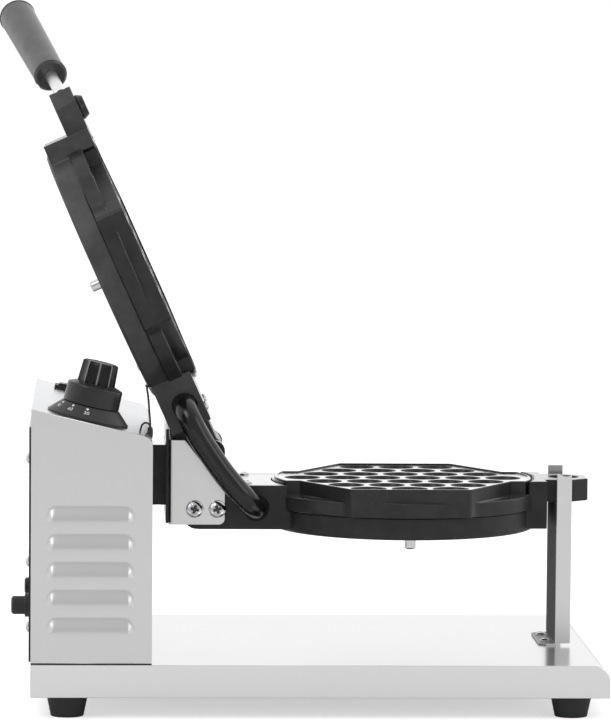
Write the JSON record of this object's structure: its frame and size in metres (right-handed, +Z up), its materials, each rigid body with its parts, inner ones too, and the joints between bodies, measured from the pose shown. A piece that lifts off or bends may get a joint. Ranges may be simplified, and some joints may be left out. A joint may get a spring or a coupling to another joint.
{
  "type": "waffle_cone_maker",
  "caption": "Commercial bubble-waffle iron with hinged hexagonal plates, open, on a stainless base with a sloped control box",
  "frame": {"origin": "bottom centre of the bounding box, on the table under the feet", "axes": "+Z up, +X from the control box towards the stand at the front, +Y across to the power switch"},
  "size_m": [0.4922, 0.302, 0.565],
  "materials": {
    "stainless": "satin stainless sheet",
    "bright_steel": "bright zinc or polished steel",
    "black_paint": "semi-gloss black coating",
    "plate_coating": "satin non-stick coating",
    "cover_steel": "brushed stainless cover",
    "black_plastic": "moulded black plastic",
    "gloss_black": "glossy moulded black plastic",
    "rubber": "matte black rubber",
    "ceramic": "glazed ceramic",
    "heater": "heat-tinted steel tube",
    "copper": "drawn copper capillary"
  },
  "bodies": {
    "base": {"base_tray": "stainless", "bottom_plate": "stainless", "tray_screws": "bright_steel", "feet": "rubber", "foot_bolts": "bright_steel", "foot_nuts": "bright_steel", "box_wrap": "stainless", "near_side_panel": "stainless", "far_side_panel": "stainless", "box_seal": "rubber", "box_screws": "bright_steel", "rear_cover": "black_paint", "rear_cover_screws": "bright_steel", "cable_gland": "black_plastic", "gland_nut": "black_plastic", "cutout_cap": "gloss_black", "cutout_body": "ceramic", "terminal_block": "ceramic", "dial_scale": "black_plastic", "thermostat_body": "bright_steel", "switch_housing": "black_plastic", "neck": "black_paint", "neck_bolts": "bright_steel", "neck_nuts": "bright_steel", "neck_screws": "black_paint", "stop_plate": "black_paint", "hinge_bracket": "stainless", "bracket_screws": "bright_steel", "hinge_pin": "bright_steel", "lower_casting": "black_paint", "lower_grid_plate": "plate_coating", "lower_heater": "heater", "lower_tie_stud": "bright_steel", "lower_arm_cover": "cover_steel", "lower_cover_screws": "bright_steel", "stand": "stainless", "stand_screws": "bright_steel", "wiring_hose": "rubber", "probe_lead": "copper", "slack_loop": "copper", "lead_sleeve": "rubber"},
    "lid": {"upper_casting": "black_paint", "upper_grid_plate": "plate_coating", "upper_heater": "heater", "upper_tie_stud": "bright_steel", "upper_arm_cover": "cover_steel", "upper_cover_screws": "bright_steel", "sensor_bulb": "copper", "probe_clip_screw": "bright_steel", "locating_peg": "bright_steel", "handle_rod": "bright_steel", "handle_grip": "gloss_black"},
    "knob": {"thermostat_shaft": "bright_steel", "temperature_knob": "gloss_black"},
    "rocker": {"switch_rocker": "gloss_black"}
  },
  "joints": [
    {"name": "lid_hinge", "type": "hinge", "parent": "base", "child": "lid", "pos_m": [-0.07608, 0, 0.1998], "axis": [0, 1, 0], "range_deg": [0, 114.4], "deforming": ["wiring_hose", "probe_lead"]},
    {"name": "knob_turn", "type": "hinge", "parent": "base", "child": "knob", "pos_m": [-0.1681, -0.107, 0.24435], "axis": [0.2284, 0, 0.9736], "range_deg": [-270, 0]},
    {"name": "rocker_tilt", "type": "hinge", "parent": "base", "child": "rocker", "pos_m": [-0.18496, 0.107, 0.23597], "axis": [0, 1, 0], "range_deg": [0, 20]}
  ]
}
